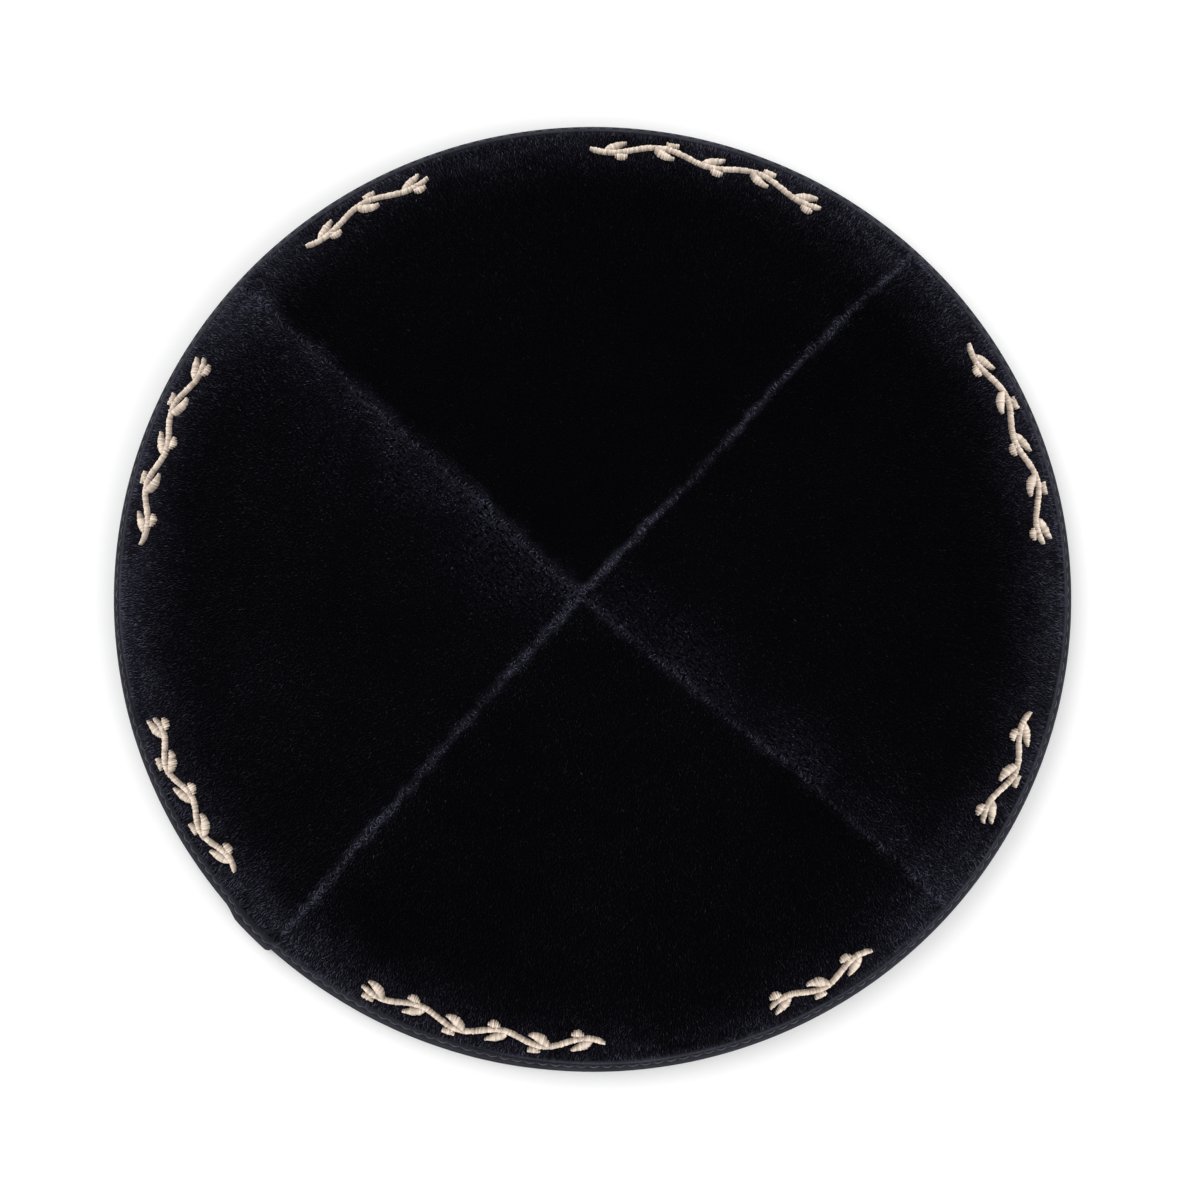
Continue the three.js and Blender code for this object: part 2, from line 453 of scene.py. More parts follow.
def makePanel(panel):
    name = panelNames[panel]
    start, width = seamAzimuths[panel], panelWidth(panel)
    rows, columns = panelRows(), panelColumns()
    azimuth, share = np.meshgrid(start + columns * width, rows[1:])
    place = panelOptions(panel)
    middle = place["middle"]
    relief = velvetRelief(azimuth, share, panel)
    outer = capSurface(alongSeam(azimuth, share, panel), share, relief, **place)
    apexRelief = velvetRelief(np.array(middle), np.array(1e-6), panel)
    outerTip = capSurface(np.array(middle), np.array(0.0), apexRelief, **place)
    every = velvetLook["every"]
    innerShare = rows[every::every]
    innerAzimuth, innerShareGrid = np.meshgrid(start + columns[::every] * width, innerShare)
    thick = capForm["clothThickness"]
    inner = capSurface(alongSeam(innerAzimuth, innerShareGrid, panel), innerShareGrid, -thick, **place)
    innerTip = capSurface(np.array(middle), np.array(0.0), -thick, **place)
    points = np.vstack([outerTip, outer.reshape(-1, 3), innerTip, inner.reshape(-1, 3)])
    wide, innerWide = len(columns), len(columns[::every])
    innerStart = 1 + outer.shape[0] * wide

    def out(row, column):
        return 0 if row == 0 else 1 + (row - 1) * wide + column

    def into(row, column):
        return innerStart if row == 0 else innerStart + 1 + (row - 1) * innerWide + column

    faces = []
    for row in range(len(rows) - 1):
        for column in range(wide - 1):
            corners = [out(row, column), out(row + 1, column)]
            corners += [out(row + 1, column + 1), out(row, column + 1)]
            faces.append(corners[:3] if row == 0 else corners)
    outerFaces = len(faces)
    innerRows = len(innerShare)
    for row in range(innerRows):
        for column in range(innerWide - 1):
            corners = [into(row, column), into(row, column + 1)]
            corners += [into(row + 1, column + 1), into(row + 1, column)]
            faces.append([corners[0]] + corners[2:] if row == 0 else corners)
        top, low = row * every, (row + 1) * every
        fine = [out(step, 0) for step in range(top, low + 1)]
        faces.append(fine[::-1] + [into(row, 0), into(row + 1, 0)])
        fine = [out(step, wide - 1) for step in range(top, low + 1)]
        faces.append(fine + [into(row + 1, innerWide - 1), into(row, innerWide - 1)])
    for column in range(innerWide - 1):
        fine = [out(len(rows) - 1, step) for step in range(column * every, (column + 1) * every + 1)]
        faces.append(fine[::-1] + [into(innerRows, column), into(innerRows, column + 1)])
    piece = makeMesh(name.replace("_panel_", "_pile_"), points, faces)
    outerSlots = np.ones(len(piece.data.polygons), np.int32)
    outerSlots[:outerFaces] = 0
    piece.data.polygons.foreach_set("material_index", outerSlots)
    allAzimuth = np.concatenate([[middle], azimuth.ravel(), [middle], innerAzimuth.ravel()])
    allShare = np.concatenate([[0], share.ravel(), [0], innerShareGrid.ravel()])
    x, y = clothPlace(allAzimuth, allShare, panel)
    reach = crownArcs[-1]
    inside = np.arange(len(x)) >= innerStart
    u = np.where(inside, 0.985 - 0.36 * x / reach, 0.06 + 0.66 * x / reach)
    v = np.where(inside, 0.985 - 0.36 * y / reach, 0.02 + 0.66 * y / reach)
    corners = cornerVertices(piece)
    setBakeMap(piece, u[corners], v[corners])
    return piece, allAzimuth, allShare


ribbonLook = {
    "thickness": 1.0,
    "gap": 0.3,
    "ribs": 18,  # fine cords along the outside leg
    "ribDepth": 0.11,
    "ribSeed": 31,
    "stitchLine": 1.35,  # below the ribbon's edge
    "stitchDent": 0.2,
    "edgeWander": 0.16,
    "wideAzimuth": 226.0,  # where the ribbon was sewn on widest, and by how much
    "wideBy": 1.1,
    "wideSpread": 34.0,
    "slant": 1.6,  # how many cords run off the edge there
    "turns": 520,  # steps round the rim
    "lapEnd": 228.0,
    "lapLength": 12.0,
    "lapRamp": 4.0,
    "lapThickness": 0.8,
    "lapRound": 1.1,
    "lapRise": 0.5,
    "lineSpread": 0.5,  # of the stitch line's dent
    "edgeRound": 0.45,  # the folded edge is rounded over this far, by this much
    "edgeDrop": 0.5,
    "outsideFoot": 1.6,  # heights at which the legs turn into the fold
    "insideFoot": 1.2,
    "insideFrom": 0.955,
    "channelMiddle": 0.92,  # the channel that holds the cloth has one bend on its way
    "samples": 9,
    "foldSteps": 15,
}


def lapStep(before):
    # the second layer of ribbon, at a distance before its outer end, with the end turned under
    look = ribbonLook
    ramp = np.clip((look["lapLength"] - before) / look["lapRamp"], 0, 1)
    ramp = ramp * ramp * (3 - 2 * ramp)
    corner = np.clip(1 - before / look["lapRound"], 0, 1)
    return look["lapThickness"] * ramp * np.sqrt(np.clip(1 - corner**2, 0, 1))


def ribbonWidening(azimuth):
    # 1 where the ribbon reaches furthest up the crown, fading to 0 round the rim
    away = (np.asarray(azimuth) - ribbonLook["wideAzimuth"] + 180) % 360 - 180
    return np.exp(-((away / ribbonLook["wideSpread"]) ** 2))


def ribbonEdge(azimuth, lap):
    # the arc down the crown where the ribbon's edge lies
    look = ribbonLook
    turn = np.radians(azimuth)
    wander = look["edgeWander"] * (np.sin(turn * 9) + 0.6 * np.sin(turn * 23 + 1))
    archLight = wander + look["wideBy"] * ribbonWidening(azimuth) + look["lapRise"] * lap / look["lapThickness"]
    return arcAtShare(capForm["ribbonTop"]) - archLight


def ribbonAzimuths():
    # even steps round the rim, with close ones where the lap ends
    look = ribbonLook
    even = np.linspace(0, 360, look["turns"], endpoint=False)[1:]
    endTurn = math.degrees(look["lapRound"] / rimReach)
    close = endTurn * (1 - np.cos(np.linspace(0, np.pi / 2, look["samples"])))
    steps = np.unique(np.concatenate([even, 360 - close, [0.02]]).round(5))
    return look["lapEnd"] + steps, np.radians(360 - steps) * rimReach


def legOutside(azimuth, lap):
    # share, offset and cord shade down the outside leg, from its folded edge to the rim; the shade is
    # painted shade, darker in the grooves between the cords, times a random tone for each cord
    look = ribbonLook
    down = np.linspace(0, 1, look["ribs"] * 4 + 1)
    topArc = ribbonEdge(azimuth, lap)
    arc = topArc + down * (crownArcs[-1] - topArc)
    slant = look["slant"] * ribbonWidening(azimuth)
    ribPlace = down * look["ribs"] + slant
    cord = np.abs(np.sin(np.pi * ribPlace))
    ribShades = np.random.default_rng(look["ribSeed"]).uniform(0.25, 1, look["ribs"] + 4)
    offset = look["gap"] + look["thickness"] + lap - look["ribDepth"] * (1 - cord)
    line = np.exp(-(((arc - topArc - look["stitchLine"]) / look["lineSpread"]) ** 2))
    offset -= look["stitchDent"] * line
    edge = np.clip(1 - (arc - topArc) / look["edgeRound"], 0, 1)
    offset -= look["edgeDrop"] * edge**2
    return shareAtArc(arc), offset, cord * ribShades[ribPlace.astype(int)]


def ribbonSection(azimuth, lap):
    # (reach, height, cord) in millimetres round the folded ribbon, outside leg first
    look = ribbonLook
    cloth = capForm["clothThickness"]

    def on(share, offset, cord=0.5):
        reach, height, outReach, outHeight = outwardMeridian(azimuth, share)
        return np.stack([reach + outReach * offset, height + outHeight * offset, cord + 0 * reach], -1)

    outside = on(*legOutside(azimuth, lap))
    outside = outside[outside[:, 1] > look["outsideFoot"]]
    inner = -cloth - look["gap"] - look["thickness"] - lap * 0.6
    innerShare = np.linspace(look["insideFrom"], capForm["ribbonTop"], look["samples"])
    inside = on(innerShare, inner + 0.3 * np.clip((0.885 - innerShare) / 0.01, 0, 1))
    inside = inside[inside[:, 1] > look["insideFoot"]]
    start, end = outside[-1], inside[0]
    sweep = np.linspace(0, np.pi, look["foldSteps"])[1:-1]
    middle, half = (start[0] + end[0]) / 2, (start[0] - end[0]) / 2
    side = np.sign(np.cos(sweep)) * np.abs(np.cos(sweep)) ** 0.75
    lift = start[1] + (end[1] - start[1]) * (1 - side) / 2
    fold = np.stack([middle + half * side, lift * (1 - np.sin(sweep) ** 0.55), 0.5 + 0 * side], -1)
    channelOut = inner + look["thickness"]
    channel = np.array([capForm["ribbonTop"], look["channelMiddle"], capForm["foldShare"]])
    back = on(channel, channelOut)
    front = on(channel[::-1], look["gap"])
    return outside, fold, inside, back, front


def makeBinding():
    # sweeps the section round the rim; returns the piece with its cord shade: painted shade in the grooves
    # and a random tone for each cord
    azimuths, before = ribbonAzimuths()
    sections = [ribbonSection(*pair) for pair in zip(azimuths, lapStep(before))]
    counts = [min(len(parts[k]) for parts in sections) for k in range(5)]
    rings, cords = [], []
    for (outside, fold, inside, back, front), turn in zip(sections, np.radians(azimuths)):
        line = np.vstack([outside[: counts[0]], fold, inside[-counts[2] :], back, front])
        x, y = line[:, 0] * math.cos(turn), line[:, 0] * math.sin(turn) * ovalness
        rings.append(np.stack([x, y, line[:, 1]], -1) * mm)
        cords.append(line[:, 2])
    size, many = len(rings[0]), len(rings)
    faces, u, v = [], [], []
    for ring in range(many):
        for corner in range(size):
            here, there = ring * size, (ring + 1) % many * size
            after = (corner + 1) % size
            faces.append([here + corner, here + after, there + after, there + corner])
            u += [ring / many, ring / many, (ring + 1) / many, (ring + 1) / many]
            v += [corner / size, (corner + 1) / size, (corner + 1) / size, corner / size]
    piece = makeMesh("rim_ribbon", np.vstack(rings), faces)
    setBakeMap(piece, np.array(u), np.array(v))
    return piece, np.concatenate(cords)


piles = []
for panel in range(4):
    piece, azimuth, share = makePanel(panel)
    piles.append((piece, azimuth, share))
    print("velvet:", piece.name, len(piece.data.polygons), "faces")
ribbon, ribbonShadeAndTone = makeBinding()
print("ribbon:", len(ribbon.data.polygons), "faces")


def nodeGroup(name, sizes):
    # a geometry tree with named inputs; returns it with its input node's outputs by name
    tree = bpy.data.node_groups.new(name, "GeometryNodeTree")
    tree.interface.new_socket("Geometry", in_out="INPUT", socket_type="NodeSocketGeometry")
    for label, (kind, value) in sizes.items():
        socket = tree.interface.new_socket(label, in_out="INPUT", socket_type=kind)
        if value is not None:
            socket.default_value = value
    tree.interface.new_socket("Geometry", in_out="OUTPUT", socket_type="NodeSocketGeometry")
    entry = tree.nodes.new("NodeGroupInput")
    return tree, {output.name: Wire(output) for output in entry.outputs if output.name}


def endGroup(tree, geometry, material):
    inputs = {"Geometry": geometry, "Material": material}
    geometry = geometry.node("GeometryNodeSetMaterial", None, inputs)
    leave = tree.nodes.new("NodeGroupOutput")
    tree.links.new(geometry.socket, leave.inputs["Geometry"])
    return tree


def namedValue(wire, name, kind="FLOAT"):
    return wire.node("GeometryNodeInputNamedAttribute", {"data_type": kind}, {"Name": name})


def vector(wire, x=0.0, y=0.0, z=0.0):
    return wire.node("ShaderNodeCombineXYZ", None, {"X": x, "Y": y, "Z": z})


def storeFloat(geometry, name, value, domain="POINT"):
    settings = {"data_type": "FLOAT", "domain": domain}
    inputs = {"Geometry": geometry, "Name": name, "Value": value}
    return geometry.node("GeometryNodeStoreNamedAttribute", settings, inputs)


def guideTurn(start):
    # the rotation that stands a thing along a guide point's directions
    up, across = (namedValue(start, name, "FLOAT_VECTOR") for name in ("up", "across"))
    settings = {"primary_axis": "Z", "secondary_axis": "X"}
    inputs = {"Primary Axis": up, "Secondary Axis": across}
    return start.node("FunctionNodeAxesToRotation", settings, inputs)


def randomBetween(wire, low, high, seed):
    inputs = {2: low, 3: high, "Seed": seed}
    return wire.node("FunctionNodeRandomValue", {"data_type": "FLOAT"}, inputs, output=1)


def stitchTree():
    # threads laid side by side along guide lines; each guide point says which way its thread runs
    tree, given = nodeGroup(
        "thread stitches",
        {
            "Spacing": ("NodeSocketFloat", 0.0004),
            "Thread Radius": ("NodeSocketFloat", 0.0002),
            "Lift": ("NodeSocketFloat", 0.0004),
            "Root": ("NodeSocketFloat", 0.0003),
            "Looseness": ("NodeSocketFloat", 0.1),
            "Steps": ("NodeSocketInt", 6),
            "Sides": ("NodeSocketInt", 5),
            "Seed": ("NodeSocketInt", 1),
            "Thread Material": ("NodeSocketMaterial", None),
        },
    )
    start = given["Geometry"]
    guide = start.node("GeometryNodeMeshToCurve", None, {"Mesh": start})
    inputs = {"Curve": guide, "Length": given["Spacing"]}
    guide = start.node("GeometryNodeResampleCurve", {"mode": "LENGTH"}, inputs)
    low = vector(start, x=-1.0, z=0 - given["Root"])
    top = vector(start, z=given["Lift"] * 2 + given["Root"])
    far = vector(start, x=1.0, z=0 - given["Root"])
    inputs = {"Resolution": given["Steps"], "Start": low, "Middle": top, "End": far}
    thread = start.node("GeometryNodeCurveQuadraticBezier", None, inputs)
    thread = storeFloat(thread, "run", start.node("GeometryNodeSplineParameter"))
    inputs = {"Resolution": given["Sides"], "Radius": given["Thread Radius"]}
    ring = start.node("GeometryNodeCurvePrimitiveCircle", {"mode": "RADIUS"}, inputs)
    inputs = {"Curve": thread, "Profile Curve": ring, "Fill Caps": True}
    thread = start.node("GeometryNodeCurveToMesh", None, inputs)
    loose = given["Looseness"]
    sway = vector(start, z=randomBetween(start, -1.0, 1.0, given["Seed"]) * loose)
    sway = start.node("FunctionNodeEulerToRotation", None, {"Euler": sway})
    inputs = {"Rotation": guideTurn(start), "Rotate By": sway}
    turn = start.node("FunctionNodeRotateRotation", {"rotation_space": "LOCAL"}, inputs)
    reach = namedValue(start, "halfWidth")
    reach = reach * (1 + randomBetween(start, -1.0, 1.0, given["Seed"] + 7) * loose)
    tall = 1 + randomBetween(start, -1.0, 1.0, given["Seed"] + 13) * loose
    size = vector(start, reach, 1.0, tall)
    inputs = {"Points": guide, "Instance": thread, "Rotation": turn, "Scale": size}
    laid = start.node("GeometryNodeInstanceOnPoints", None, inputs)
    laid = storeFloat(laid, "shade", randomBetween(start, 0.0, 1.0, given["Seed"] + 29), "INSTANCE")
    laid = start.node("GeometryNodeRealizeInstances", None, {"Geometry": laid})
    laid = start.node("GeometryNodeSetShadeSmooth", None, {"Geometry": laid, "Shade Smooth": True})
    return endGroup(tree, laid, given["Thread Material"])


def growMesh(name, guide, tree, values):
    # runs a tree over a guide object and keeps the result as a plain mesh
    modifier = guide.modifiers.new("grow", "NODES")
    modifier.node_group = tree
    labels = {item.name: item.identifier for item in tree.interface.items_tree if item.in_out == "INPUT"}
    for label, value in values.items():
        modifier[labels[label]] = value
    bpy.context.view_layer.update()
    evaluated = guide.evaluated_get(bpy.context.evaluated_depsgraph_get())
    mesh = bpy.data.meshes.new_from_object(evaluated)
    guide.modifiers.remove(modifier)
    bpy.data.objects.remove(guide)
    mesh.name = name
    return addObject(name, mesh)


def surfaceFrame(azimuth, share, offset):
    # points on the crown with the outward direction there
    azimuth, share = np.asarray(azimuth, float), np.asarray(share, float)
    point = capSurface(azimuth, share, offset)
    aside = capSurface(azimuth + 0.2, share, offset) - capSurface(azimuth - 0.2, share, offset)
    down = capSurface(azimuth, share + 0.002, offset) - capSurface(azimuth, share - 0.002, offset)
    up = np.cross(down, aside)
    return point, up / np.linalg.norm(up, axis=-1, keepdims=True)


def threadDirection(points, up, turned=0.0):
    # across each point of a line, lying on the cloth; turned slants it, 90 lays it along the line
    along = np.gradient(points, axis=0)
    along /= np.linalg.norm(along, axis=-1, keepdims=True)
    across = np.cross(up, along)
    angle = math.radians(turned)
    return across * math.cos(angle) + along * math.sin(angle)


def guideObject(name, points, edges, up, across):
    # the points that a tree grows things on, with the directions in which they stand
    mesh = bpy.data.meshes.new(name)
    mesh.from_pydata([tuple(p) for p in points], edges, [])
    guide = addObject(name, mesh)
    addVector(guide, "up", up)
    addVector(guide, "across", across)
    return guide


def makeGuide(name, lines):
    # lines: (points, up, across, halfWidth in metres, closed)
    points, edges, ups, acrosses, widths = [], [], [], [], []
    for place, up, across, halfWidth, closed in lines:
        first = len(points)
        points.extend(place)
        edges += [(first + k, first + k + 1) for k in range(len(place) - 1)]
        if closed:
            edges.append((first + len(place) - 1, first))
        ups.extend(up)
        acrosses.extend(across)
        widths.extend(np.broadcast_to(halfWidth, len(place)))
    guide = guideObject(name, points, edges, ups, acrosses)
    addFloat(guide, "halfWidth", widths)
    return guide


# The border's sprigs: where each is centred round the rim, how wide it is and its leaves
sprigs = [
    {"azimuth": 20.1, "width": 28.3, "leaves": 5},
    {"azimuth": 74.9, "width": 31.5, "leaves": 5},
    {"azimuth": 120.2, "width": 18.6, "leaves": 3},
    {"azimuth": 161.1, "width": 26.0, "leaves": 5},
    {"azimuth": 207.2, "width": 22.8, "leaves": 5},
    {"azimuth": 255.8, "width": 32.5, "leaves": 6},
    {"azimuth": 300.4, "width": 15.4, "leaves": 3},
    {"azimuth": 337.0, "width": 16.1, "leaves": 3},
]
embroideryLook = {
    "base": 2.3,  # above the ribbon's edge, over the cloth
    "height": 7.8,
    "wave": 1.6,  # how far the stem swings up and down
    "stem": 0.72,  # half widths
    "leaf": 1.25,
    "leafLength": 4.7,
    "bud": 1.0,
    "tendril": 0.26,
    "reachShare": 0.945,  # of the rim's reach, where the border lies
    "spacing": 0.33,  # from thread to thread
    "threadRadius": 0.22,
    "lift": 0.72,  # how far a thread arches, and how deep its ends go into the cloth
    "root": 0.35,
    "looseness": 0.11,
    "steps": 6,
    "sides": 5,
    "seed": 11,
    "sink": 0.05,
}


def sprigStrokes(sprig):
    # (u, v, halfWidth, slant) strokes in millimetres: u round the rim, v up the crown
    look = embroideryLook
    count = sprig["leaves"]
    length = math.radians(sprig["width"]) * look["reachShare"] * rimReach
    pace = length / count
    middle = look["height"] / 2

    def stemHeight(u):
        return middle + look["wave"] * np.cos(np.pi * (u / pace - 0.5))

    strokes = []
    u = np.linspace(0.08 * pace, length - 0.08 * pace, 14 * count)
    taper = np.clip(np.minimum(u, length - u) / 1.6, 0.35, 1)
    strokes.append((u, stemHeight(u), look["stem"] * taper, 12))
    for k in range(count):
        centre = (k + 0.5) * pace
        side = 1 if k % 2 == 0 else -1
        t = np.linspace(0, 1, 12)
        rootU, rootV = centre - 0.13 * pace, stemHeight(centre - 0.13 * pace) - side * 0.4
        leafU = rootU + look["leafLength"] * (0.62 * t + 0.16 * t**2)
        leafV = rootV - side * look["leafLength"] * (0.86 * t - 0.24 * t**2)
        leafWide = look["leaf"] * np.sin(np.pi * t**0.85) ** 0.8 + 0.12
        strokes.append((leafU, leafV, leafWide, 20 * side))
        budU, budV = centre + 0.2 * pace, middle + side * (middle - look["bud"])
        t = np.linspace(0, 1, 6)
        startV = stemHeight(centre + 0.05 * pace)
        tendrilU = centre + 0.05 * pace + (budU - centre - 0.05 * pace) * t
        strokes.append((tendrilU, startV + (budV - startV) * t**1.4, look["tendril"] + 0 * t, 0))
        t = np.linspace(-1, 1, 9)
        budWide = look["bud"] * np.sqrt(np.clip(1 - t**2, 0.08, 1))
        strokes.append((budU + look["bud"] * t, budV + 0 * t, budWide, 0))
    return [(u - length / 2, v, wide, slant) for u, v, wide, slant in strokes]


def embroideryLines():
    # the sprigs' strokes laid on the velvet: points, outward and thread directions, half widths
    look = embroideryLook
    lines = []
    baseArc = arcAtShare(capForm["ribbonTop"]) - look["base"]
    reach = alongCrown("reach", shareAtArc(baseArc - look["height"] / 2))
    for sprig in sprigs:
        for u, v, wide, slant in sprigStrokes(sprig):
            azimuth = sprig["azimuth"] - np.degrees(u / reach)
            share = shareAtArc(baseArc - v)
            panel = int(panelPlace(azimuth.mean())[0])
            points, up = surfaceFrame(azimuth, share, velvetRelief(azimuth, share, panel) - look["sink"])
            lines.append((points, up, threadDirection(points, up, slant), wide * mm, False))
    return lines


topstitchLook = {
    "spacing": 2.4,
    "length": 1.95,
    "threadRadius": 0.16,
    "lift": 0.17,
    "root": 0.22,
    "looseness": 0.06,
    "steps": 6,
    "sides": 5,
    "seed": 23,
    "proud": 0.02,
}


def topstitchGuide():
    # one row of machine stitches through the ribbon: outside, and the same holes inside
    look = topstitchLook
    lines = []
    azimuth = ribbonLook["lapEnd"] + np.linspace(0, 360, 720, endpoint=False) + 0.2
    before = np.radians(ribbonLook["lapEnd"] + 360 - azimuth) * rimReach
    lap = lapStep(before)
    share = shareAtArc(ribbonEdge(azimuth, lap) + ribbonLook["stitchLine"])
    layer = ribbonLook["gap"] + ribbonLook["thickness"]
    outside = layer + lap - ribbonLook["stitchDent"] + look["proud"]
    inside = -capForm["clothThickness"] - layer - 0.6 * lap - look["proud"]
    for offset, facing in ((outside, 1), (inside, -1)):
        points, up = surfaceFrame(azimuth, share, offset)
        up = up * facing
        across = threadDirection(points, up, 90)
        lines.append((points, up, across, look["length"] / 2 * mm, True))
    return makeGuide("topstitch_guide", lines)


velvetTones = {
    "deep": (0.0009, 0.0009, 0.0013, 1),  # between the tufts
    # the ground under full painted light and sheen
    "litGround": (0.0125, 0.0122, 0.0185, 1),
    "litTip": (0.185, 0.182, 0.27, 1),  # painted light and sheen on the sides of the fibres, where the pile lies over
    "rowPitch": 0.95,  # of the rows of pile, and of the tufts along a row, millimetres
    "tuftPitch": 0.8,
    "dashLength": 1.1,  # of the gaps that show between the rows where the pile lies open
    "dashWidth": 0.42,
}


def velvetMaterial():
    material, shader, place = startMaterial(
        "velvet pile", {"Roughness": 0.95, "Specular IOR Level": 0.0}
    )
    tone, rowShow = attribute(place, "tone"), attribute(place, "rowShow")
    cloth = attribute(place, "cloth", "Vector")
    warped = noise(place, 220, 1) * 1.2 - 0.6
    split = cloth.node("ShaderNodeSeparateXYZ", None, {"Vector": cloth})
    across = Wire(split.socket.node.outputs["Y"])
    turn = 2 * math.pi
    rows = (across * (turn / velvetTones["rowPitch"]) + warped).sine() * 0.5 + 0.5
    rows = rows * ((split * (turn / velvetTones["tuftPitch"]) + warped * 1.3).sine() * 0.5 + 0.5)
    pile = noise(place, 1500, 2, 0.6)
    dashScale = (1 / velvetTones["dashLength"], 1 / velvetTones["dashWidth"], 1)
    dashes = cloth.node("ShaderNodeMapping", None, {"Vector": cloth, "Scale": dashScale})
    dashes = noise(dashes, 1, 1).smoothStep(0.38, 0.62)
    # tone brings painted light and painted sheen; rows and dashes make the ground lighter on the pile's
    # rows and darker between them, painted shade in the gaps
    show = tone * (pile * 1.6 + 0.2) * (1 + rowShow * (rows * 0.8 + dashes * 2.1 - 1.25))
    feed(blend(velvetTones["deep"], velvetTones["litGround"], show), shader, "Base Color")
    feedBump(pile * 0.6 + rows * rowShow * 0.8, shader, 0.0004, 0.5)
    return material


def napMaterial():
    material, shader, place = startMaterial(
        "velvet tufts", {"Roughness": 0.8, "Specular IOR Level": 0.05}
    )
    tone, run = attribute(place, "tone"), attribute(place, "run")
    # the tufts run from deep to their lit tip colour by tone, which carries painted light and sheen, and
    # are darker towards the roots, painted shade among the fibres
    feed(blend(velvetTones["deep"], velvetTones["litTip"], tone * (0.25 + 0.75 * run)), shader, "Base Color")
    return material


napLook = {
    "pitch": 0.47,  # between tufts
    "jitter": 0.85,  # of a pitch
    "height": 0.75,
    "radius": 0.085,
    "lean": 0.3,  # sideways at random
    "comb": 0.22,  # towards the direction in which the pile was last brushed
    "combAzimuth": 250.0,
    "combPatch": 14.0,
    "rowDip": 0.6,  # how much shorter the pile is between its rows, where they show
    "overEdge": 1.0,  # how much longer it is where it bulges over the ribbon
    "overSeam": 0.45,  # how far it lies across a seam
    "edgeReach": 0.7,  # how near it has to be to either
    "firstArc": 0.3,  # nothing grows closer to the apex
    "shadeSpread": 0.7,
    "clear": 0.12,  # round the embroidery
    "rootDepth": 0.08,
    "twist": 0.6,
}


def unit(vectors):
    return vectors / np.linalg.norm(vectors, axis=-1, keepdims=True)


def pileFrame(azimuth, share, panel):
    # points on the velvet's ground, the outward direction there and two directions along it
    aside = np.degrees(0.15 / np.maximum(alongCrown("reach", share), 0.8))
    down = shareAtArc(arcAtShare(share) + 0.15) - share

    def at(turn, run):
        relief = velvetRelief(turn, run, panel)
        return capSurface(alongSeam(turn, run, panel), run, relief, **panelOptions(panel))

    across = unit(at(azimuth + aside, share) - at(azimuth - aside, share))
    along = unit(at(azimuth, share + down) - at(azimuth, np.maximum(share - down, 0)))
    return at(azimuth, share), unit(np.cross(along, across)), across, along


def clearOfBorder(points, lines):
    # which tufts aren't under the embroidery's threads
    keep = np.ones(len(points), bool)
    for place, _, _, halfWidth, _ in lines:
        low, high = place.min(0) - 0.003, place.max(0) + 0.003
        near = np.flatnonzero(((points > low) & (points < high)).all(1) & keep)
        if len(near):
            away = np.linalg.norm(points[near][:, None] - place[None], axis=-1)
            keep[near] = (away > halfWidth + napLook["clear"] * mm).all(1)
    return keep


def napGuide(panel, lines):
    # one point for each tuft, in uneven rows over the cloth
    look = napLook
    dice = np.random.default_rng(40 + panel)
    edge = ribbonEdge(seamAzimuths[panel] + np.linspace(0, panelWidth(panel), 400), 0)
    steps = np.arange(-10, edge.max() + 1, look["pitch"])
    x, y = np.meshgrid(steps, steps)
    x = (x + dice.uniform(-0.5, 0.5, x.shape) * look["pitch"] * look["jitter"]).ravel()
    y = (y + dice.uniform(-0.5, 0.5, y.shape) * look["pitch"] * look["jitter"]).ravel()
    arc, into = np.hypot(x, y), np.degrees(np.arctan2(y, x))
    last = np.interp(into, np.linspace(0, panelWidth(panel), 400), edge)
    kept = (into > 0) & (into < panelWidth(panel)) & (arc < last - 0.1) & (arc > look["firstArc"])
    x, y, arc, into, last = (values[kept] for values in (x, y, arc, into, last))
    azimuth, share = seamAzimuths[panel] + into, shareAtArc(arc)
    points, up, across, along = pileFrame(azimuth, share, panel)
    kept = clearOfBorder(points, lines)
    x, y, arc, last, azimuth, share = (values[kept] for values in (x, y, arc, last, azimuth, share))
    points, up, across, along = points[kept], up[kept], across[kept], along[kept]
    crownX, crownY = crownPlace(azimuth, share)
    brushed = 1 + 0.8 * softNoise(crownX, crownY, look["combPatch"], 8)
    turn = math.radians(look["combAzimuth"]) + 0.6 * softNoise(crownX, crownY, look["combPatch"], 9)
    comb = np.stack([np.cos(turn), np.sin(turn), 0 * turn], -1) * (look["comb"] * brushed)[:, None]
    overEdge = np.exp(-(((last - arc) / look["edgeReach"]) ** 2))
    first, second = seamDistances(azimuth, share, panel)
    overSeam = np.exp(-((np.minimum(first, second) / look["edgeReach"]) ** 2))
    overSeam *= np.where(first < second, -1, 1)
    sway = dice.normal(0, look["lean"], (2, len(arc)))
    sway[0] += look["overSeam"] * overSeam
    lean = comb + across * sway[0][:, None] + along * (sway[1] + 0.6 * overEdge)[:, None]
    tone, rows = pileToneAndLight(azimuth, share, panel)
    turn = 2 * np.pi * (y + 0.25 * x) / velvetTones["rowPitch"] + 1.2 * softNoise(crownX, crownY, 5, 10)
    row = np.clip(0.5 + 0.42 * np.sin(turn) + 0.4 * softNoise(x / 1.8, y, 0.75, 11), 0, 1)
    tall = (1 - look["rowDip"] * rows * (1 - row)) * (1 + look["overEdge"] * overEdge)
    tall *= 1 + 0.35 * np.abs(overSeam)
    tall *= dice.uniform(0.75, 1.25, len(arc))
    spread = look["shadeSpread"]
    shade = np.exp(dice.normal(-(spread**2) / 2, spread, len(arc)))
    # tone carries painted light and sheen; tufts between the pile's rows are made darker, painted shade in
    # the gaps
    tone = np.clip(tone * shade * (1 + 2.4 * rows * (row - 0.45)), 0.01, 1)
    roots = points - up * look["rootDepth"] * mm
    aside = unit(across + dice.normal(0, look["twist"], (len(arc), 1)) * along)
    guide = guideObject("nap_guide", roots, [], unit(up + lean), aside)
    addFloat(guide, "tall", tall)
    addFloat(guide, "tone", tone)
    return guide


